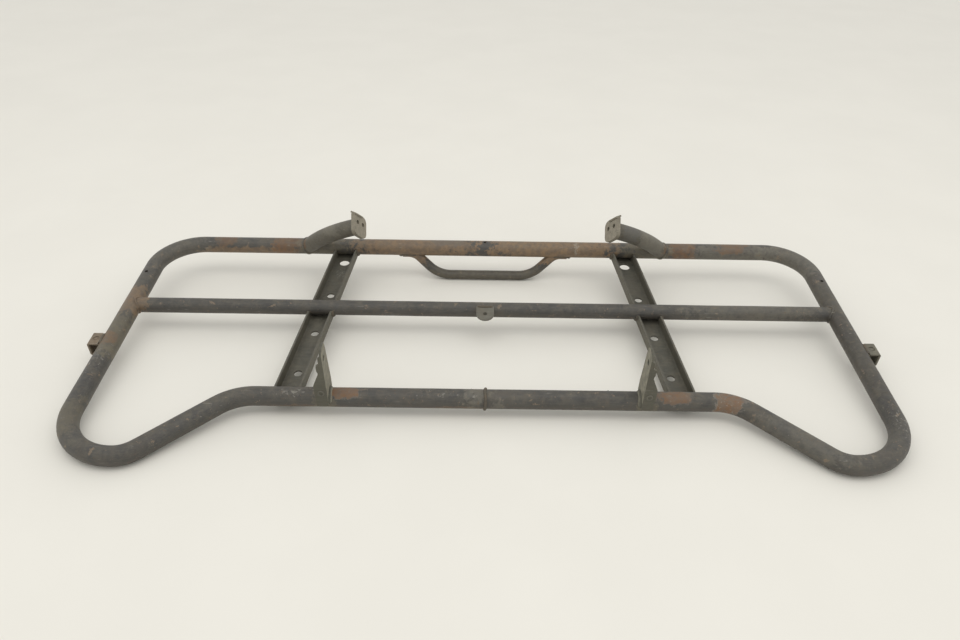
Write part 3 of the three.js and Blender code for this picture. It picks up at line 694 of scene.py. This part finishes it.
def worn_copy(node, material, rounding=ROUNDING):
    """The CAD node's shape with its sharp edges rounded, the rounded faces marked as edge."""
    bm = bmesh.new()
    bm.from_mesh(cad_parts[node].data)
    bmesh.ops.remove_doubles(bm, verts=bm.verts, dist=SAME_POINT * MM)
    bmesh.ops.dissolve_limit(bm, angle_limit=math.radians(1), verts=bm.verts, edges=bm.edges)
    sharp = [e for e in bm.edges if len(e.link_faces) == 2 and e.calc_face_angle(0) > SHARP_TURN]
    made = bmesh.ops.bevel(
        bm, geom=sharp, offset=rounding * MM, segments=2, profile=0.6, affect="EDGES", clamp_overlap=True
    )
    edge = bm.loops.layers.float.new("edge")
    for face in made["faces"]:
        for loop in face.loops:
            loop[edge] = 1.0
    bmesh.ops.dissolve_degenerate(bm, dist=SLIVER * MM, edges=bm.edges)
    bmesh.ops.recalc_face_normals(bm, faces=bm.faces)
    mesh = bpy.data.meshes.new(f"{node}_skin")
    bm.to_mesh(mesh)
    bm.free()
    smooth(mesh, 35)
    piece = add_piece(f"{node}_skin", mesh, material, [node])
    weighted = piece.modifiers.new("weighted", "WEIGHTED_NORMAL")
    weighted.keep_sharp = True


EAR_PAINTS = {"left": rusty_ear_paint, "right": olive_ear_paint}


def add_sheet_pieces():
    """The rails, brackets, ears, plates, nuts and the tab, each from its CAD node."""
    for side, _ in SIDES:
        worn_copy(f"channel_{side}", rail_paint)
        worn_copy(f"front_bracket_{side}", bracket_paint)
        worn_copy(f"side_bracket_{side}", EAR_PAINTS[side])
        worn_copy(f"arm_plate_{side}", plate_paint, PLATE_ROUNDING)
        worn_copy(f"side_nut_{side}", nut_steel, NUT_ROUNDING)
    worn_copy("center_tab", tab_paint)


# The packed rust's rings, from the middle of its bottom out, up the hole and in over its top: height over
# the sheet's underside and share of the hole's radius.
PACKED_RINGS = [(0.0, 0.25), (0.0, 1.0), (1.3, 1.0), (1.0, 0.75), (2.0, 0.5), (2.2, 0.2)]
PACKED_SIDES = 24
PACKED_CLEARANCE = 0.15


def add_packed_rust():
    """Rust and mud fill each side ear's bolt hole above its nut, sunk round a lump in the middle."""
    for side, sign in SIDES:
        rings = []
        for height, share in PACKED_RINGS:
            ring = []
            for angle in full_turn(PACKED_SIDES)[:-1]:
                uneven = 1 + 0.06 * noise.noise(Vector((math.cos(angle), math.sin(angle), height + 5 * sign)))
                radius = (EAR_BOLT_R - PACKED_CLEARANCE) * share * min(1.0, uneven)
                x = sign * EAR_BOLT_X + radius * math.cos(angle)
                y = EAR_BOLT_Y + radius * math.sin(angle)
                ring.append(DECK @ Vector((x, y, EAR_TOP - SHEET + height)))
            rings.append(ring)
        mesh = skin(f"packed_rust_{side}", rings, False, 50)
        add_piece(f"packed_rust_{side}", mesh, EAR_PAINTS[side])


# ---------------------------------------------------------------- weld beads
RIPPLE = 1.9
BEAD_STEP = 0.45
BEAD_SIDES = 14
BEAD_TAPER_STEPS = 6
BUTT_R = 12.9

# How far a bead's centre line is kept from the sheet or plate that it runs along.
HOLD_OFF = 0.3
FLANGE_GAP = 0.2

# The beads' own radii.
FOOT_BEAD = 2.1
MID_BEAD = 1.9
PLATE_BEAD = 1.6
RAIL_BEAD = 2.6
LOOP_BEAD = 1.9
BRACKET_BEAD = 3.4
PLUG_BEAD = 1.0
EAR_BEAD = 2.3
TAB_BEAD = 1.7
BUTT_BEAD = 2.0


def carried_sweep(name, points, section, sides):
    """A tube, capped at both ends, along any line, its rings carried along without twist."""
    directions = tangents(points, False)
    side = directions[0].orthogonal().normalized()
    angles = full_turn(sides)[:-1]
    rings = []
    for i, (point, direction, along) in enumerate(zip(points, directions, travelled(points))):
        side = (side - direction * side.dot(direction)).normalized()
        over = direction.cross(side)
        rings.append(ring_at(point, side, over, [(angle, section(i, angle, along)) for angle in angles]))
    return skin(name, rings, False, 60)


def weld(name, points, radius, seed, replaces=(), paint=weld_paint):
    """A hand-laid bead: overlapping ripples of uneven height along its line."""
    line = resample(points, BEAD_STEP)

    def section(i, angle, along):
        phase = (along + 0.5 * math.cos(angle)) / RIPPLE
        ripple = 0.11 * (1 - abs(2 * (phase - math.floor(phase)) - 1))
        wander = noise.noise(Vector((along * 0.11, angle * 0.4, seed * 3.7)))
        taper = min(1.0, 0.55 + 0.45 * min(i, len(line) - 1 - i) / BEAD_TAPER_STEPS)
        return radius * taper * (0.93 + ripple + 0.16 * wander)

    mesh = carried_sweep(f"{name}_bead", line, section, BEAD_SIDES)
    add_piece(f"{name}_bead", mesh, paint, replaces)


def curve_through(points, per_span=6):
    """A smooth line through its points."""
    ends = [points[0] * 2 - points[1], *points, points[-1] * 2 - points[-2]]
    out = []
    for a, b, c, d in zip(ends, ends[1:], ends[2:], ends[3:]):
        for i in range(per_span):
            t = i / per_span
            out.append(0.5 * (2 * b + (c - a) * t + (2 * a - 5 * b + 4 * c - d) * t**2
                              + (3 * b - a - 3 * c + d) * t**3))
    out.append(points[-1])
    return out


def cope_points(origin, way, bar_r, axis_point, axis_way, tube_r, count=30):
    """Where a round bar leaving a tube meets the tube's surface, a little short of a full turn."""
    across = axis_way.cross(way).normalized()
    other = way.cross(across).normalized()
    out = []
    for i in range(count + 1):
        angle = -math.pi / 2 + 0.06 + (2 * math.pi - 0.12) * i / count
        rim = origin + across * bar_r * math.cos(angle) + other * bar_r * math.sin(angle)
        offset = rim - axis_point
        offset -= axis_way * offset.dot(axis_way)
        run = way - axis_way * way.dot(axis_way)
        a = run.dot(run)
        b = 2 * offset.dot(run)
        c = offset.dot(offset) - tube_r**2
        reach = (-b + math.sqrt(b * b - 4 * a * c)) / (2 * a)
        out.append(rim + way * reach)
    return out


def rail_x(y):
    """Where the right rail's centre line is across the deck."""
    slope = (RAIL_FRONT[0] - RAIL_REAR[0]) / (RAIL_REAR[1] - RAIL_FRONT[1])
    return RAIL_FRONT[0] - (y - RAIL_FRONT[1]) * slope


def flange_line(side, tube_y, tube_r, start, stop, count=16):
    """Along the outside of a rail's flange, round the tube that it is welded to."""
    out = []
    for i in range(count + 1):
        angle = start + (stop - start) * i / count
        y = tube_y + tube_r * math.cos(angle)
        x = rail_x(y) + side * (RAIL_WIDTH / 2 + FLANGE_GAP)
        out.append(Vector((x, y, tube_r * math.sin(angle))))
    return out


def add_joint_welds():
    """The beads round the arms' feet, the mid tube's ends and the arm plates."""
    foot = cope_points(ARM_FOOT, ARM_START_WAY, TUBE_R, Vector((0, REAR_Y, 0)), X, TUBE_R)
    leg = Vector((LEG_X, MID_Y, 0))
    mid_end = cope_points(leg, -X, MID_R, leg, Y, TUBE_R)
    across = Vector((0, math.sin(PLATE_LEAN), math.cos(PLATE_LEAN))).cross(ARM_END_WAY).normalized()
    over = ARM_END_WAY.cross(across)
    plate_ring = []
    for angle in full_turn(40):
        rim = across * math.cos(angle) + over * math.sin(angle)
        plate_ring.append(ARM_END + rim * (TUBE_R + HOLD_OFF) - ARM_END_WAY * 0.8)
    for side, sign in SIDES:
        name = f"weld_arm_foot_{side}"
        weld(name, on_side(foot, sign), FOOT_BEAD, 1 + sign, [name], frame_paint)
        name = f"weld_mid_end_{side}"
        weld(name, on_side(mid_end, sign), MID_BEAD, 4 + sign, [name], frame_paint)
        name = f"weld_arm_plate_{side}"
        weld(name, on_side(plate_ring, sign), PLATE_BEAD, 7 + sign, [name])


def add_rail_welds():
    """The beads of both flanges of both rails at the three tubes."""
    top = math.asin(RAIL_TOP / TUBE_R)
    joints = [
        ("rear", REAR_Y, TUBE_R, math.pi - top, 1.42 * math.pi),
        ("mid", MID_Y, MID_R, math.pi - top, 2 * math.pi + top),
        ("front", 0, TUBE_R, top, -0.42 * math.pi),
    ]
    for number, (joint, y, radius, start, stop) in enumerate(joints):
        for flange, way in (("outer", 1), ("inner", -1)):
            line = flange_line(way, y, radius, start, stop)
            for side, sign in SIDES:
                name = f"weld_channel_{joint}_{flange}_{side}"
                seed = 10 + number * 4 + way + sign
                weld(name, on_side(line, sign), RAIL_BEAD, seed, [name])


def loop_end_line():
    """Round the grab loop's right end on the rear tube, from (angle under the tube, distance along it)."""
    half = [(-0.62, -22), (-0.62, -11), (-0.6, -1), (-0.35, 3.5), (0, 4.5)]
    line = []
    for angle, along in half + [(-angle, along) for angle, along in reversed(half[:-1])]:
        turn = angle - LOOP_LEAN
        y = REAR_Y + TUBE_R * math.sin(turn)
        line.append(Vector((LOOP_END_X + along, y, -TUBE_R * math.cos(turn))))
    return curve_through(line)


def bracket_line():
    """Over the front tube along the front bracket's inner side."""
    line = []
    steps = 20
    for i in range(steps + 1):
        angle = (0.3 + 0.66 * i / steps) * math.pi
        line.append(Vector((BRACKET_IN_X - 0.4, TUBE_R * math.cos(angle), TUBE_R * math.sin(angle))))
    return line


def plug_line():
    """A ring on the front face of the front bracket's saddle."""
    line = []
    face_y = -(TUBE_R + HOLD_OFF + SHEET)
    for angle in full_turn(20):
        x = BRACKET_IN_X + SADDLE_WIDTH / 2 + PLUG_R * math.cos(angle)
        line.append(Vector((x, face_y, PLUG_Z + PLUG_R * math.sin(angle))))
    return line


def add_small_welds():
    """The beads of the grab loop, the brackets, the ears and the tab, and the plug and butt welds."""
    loop_end = loop_end_line()
    bracket = bracket_line()
    plug = plug_line()
    for side, sign in SIDES:
        name = f"weld_loop_end_{side}"
        weld(name, on_side(loop_end, sign), LOOP_BEAD, 30 + sign, [name])
        name = f"weld_front_bracket_{side}"
        weld(name, on_side(bracket, sign), BRACKET_BEAD, 33 + sign, [name], bracket_paint)
        weld(f"plug_weld_{side}", on_side(plug, sign), PLUG_BEAD, 36 + sign, paint=tab_paint)
        for seat, z in (("top", EAR_TOP), ("bottom", EAR_BOTTOM)):
            x = LEG_X + math.sqrt(TUBE_R**2 - z**2) + FLANGE_GAP
            line = [Vector((x, EAR_FRONT_Y + 2, z)), Vector((x, EAR_BACK_Y - 2, z))]
            name = f"weld_side_bracket_{seat}_{side}"
            weld(name, on_side(line, sign), EAR_BEAD, 39 + z, [name])

    half = TAB_WIDTH / 2 - 2
    tab = [Vector((-half, TAB_ROOT_Y - 0.5, TAB_TOP)), Vector((half, TAB_ROOT_Y - 0.5, TAB_TOP))]
    weld("weld_center_tab", tab, TAB_BEAD, 45, ["weld_center_tab"])

    ring = []
    for angle in full_turn(60):
        ring.append(Vector((0.5 * math.sin(3 * angle), BUTT_R * math.cos(angle), BUTT_R * math.sin(angle))))
    weld("butt_weld", ring, BUTT_BEAD, 46, ["butt_weld_ring"])


# Where spatter lies: a tube's y, and the places along it that were welded.
SPATTERED = [(REAR_Y, (-310, -215, 0, 130, 215, 310)), (0, (-260, -200, 0, 200, 260))]
SPATTER_COUNT = 90
SPATTER_REACH = 22


def add_spatter():
    """Beads of weld metal thrown onto the tubes beside their joints."""
    bm = bmesh.new()
    for _ in range(SPATTER_COUNT):
        y, joints = random.choice(SPATTERED)
        x = random.choice(joints) + random.gauss(0, SPATTER_REACH)
        angle = math.radians(random.uniform(20, 200))
        size = random.uniform(0.35, 0.9)
        place = Vector((x, y + TUBE_R * math.cos(angle), TUBE_R * math.sin(angle)))
        matrix = DECK @ Matrix.Translation(place)
        bmesh.ops.create_icosphere(bm, subdivisions=1, radius=size, matrix=matrix)
    mesh = bpy.data.meshes.new("weld_spatter")
    bm.to_mesh(mesh)
    bm.free()
    smooth(mesh, 80)
    add_piece("weld_spatter", mesh, weld_paint)


# ---------------------------------------------------------------- stage, light, camera
# The floor and the lamp are in metres in the row frame, and the camera's place is in millimetres.
FLOOR_REACH = 40.0
WORLD_TINT = (1.0, 0.99, 0.97, 1)
WORLD_STRENGTH = 0.88
LAMP_SIZE = (3.4, 1.2)
LAMP_PLACE = (0.0, -0.35, 2.1)
LAMP_TINT = (1.0, 0.985, 0.96)
LAMP_POWER = 12
CAMERA_PITCH = math.radians(34.61)
CAMERA_YAW = math.radians(0.45)
CAMERA_ROLL = math.radians(1.07)
CAMERA_FROM_FRONT_TUBE = (-14.4, -741.1, 657.5)
SENSOR_WIDTH = 36
LENS = 28.125


def add_floor():
    """A pale table top under the rack, out to the horizon."""
    r = FLOOR_REACH
    mesh = bpy.data.meshes.new("floor")
    corners = [(-r, -r, 0), (r, -r, 0), (r, r, 0), (-r, r, 0)]
    mesh.from_pydata(corners, [], [(0, 1, 2, 3)])
    n = Nodes("table_top")
    position = n.node("ShaderNodeNewGeometry").outputs["Position"]
    cloud = n.ramp(n.noise(position, 5, detail=3), 0.3, 0.7)
    n.link(n.mix(cloud, colour(230, 228, 220), colour(232, 230, 222)), n.bsdf.inputs["Base Color"])
    n.bsdf.inputs["Roughness"].default_value = 0.75
    mesh.materials.append(n.material)
    floor = bpy.data.objects.new("floor", mesh)
    bpy.context.scene.collection.objects.link(floor)


def add_light():
    """Even light from all round, and a soft lamp overhead."""
    world = bpy.data.worlds.new("studio")
    bpy.context.scene.world = world
    world.use_nodes = True
    background = world.node_tree.nodes["Background"]
    background.inputs["Color"].default_value = WORLD_TINT
    background.inputs["Strength"].default_value = WORLD_STRENGTH
    lamp = bpy.data.lights.new("ceiling", "AREA")
    lamp.shape = "RECTANGLE"
    lamp.size, lamp.size_y = LAMP_SIZE
    lamp.energy = LAMP_POWER
    lamp.color = LAMP_TINT
    ceiling = bpy.data.objects.new("ceiling", lamp)
    ceiling.location = LAMP_PLACE
    ceiling.rotation_euler = (-ceiling.location).to_track_quat("-Z", "Y").to_euler()
    bpy.context.scene.collection.objects.link(ceiling)


def add_camera():
    """Looks down on the rack from the side of its wings."""
    forward = Vector((math.sin(CAMERA_YAW), math.cos(CAMERA_YAW), 0))
    ahead = forward * math.cos(CAMERA_PITCH) - Z * math.sin(CAMERA_PITCH)
    level = Vector((math.cos(CAMERA_YAW), -math.sin(CAMERA_YAW), 0))
    over = level.cross(ahead)
    right = level * math.cos(CAMERA_ROLL) + over * math.sin(CAMERA_ROLL)
    up = over * math.cos(CAMERA_ROLL) - level * math.sin(CAMERA_ROLL)
    camera = bpy.data.objects.new("camera", bpy.data.cameras.new("camera"))
    camera.data.sensor_width = SENSOR_WIDTH
    camera.data.lens = LENS
    place = Vector(CAMERA_FROM_FRONT_TUBE) * MM + Vector((0, front_axis.y, 0))
    turn = Matrix((right, up, -ahead)).transposed().to_4x4()
    camera.matrix_world = Matrix.Translation(place) @ turn
    bpy.context.scene.collection.objects.link(camera)
    bpy.context.scene.camera = camera


add_perimeter_tube()
add_mid_tube()
add_grab_loop()
add_arms()
add_sheet_pieces()
add_packed_rust()
add_joint_welds()
add_rail_welds()
add_small_welds()
add_spatter()
add_floor()
add_light()
add_camera()
bpy.context.scene.view_settings.view_transform = "Standard"
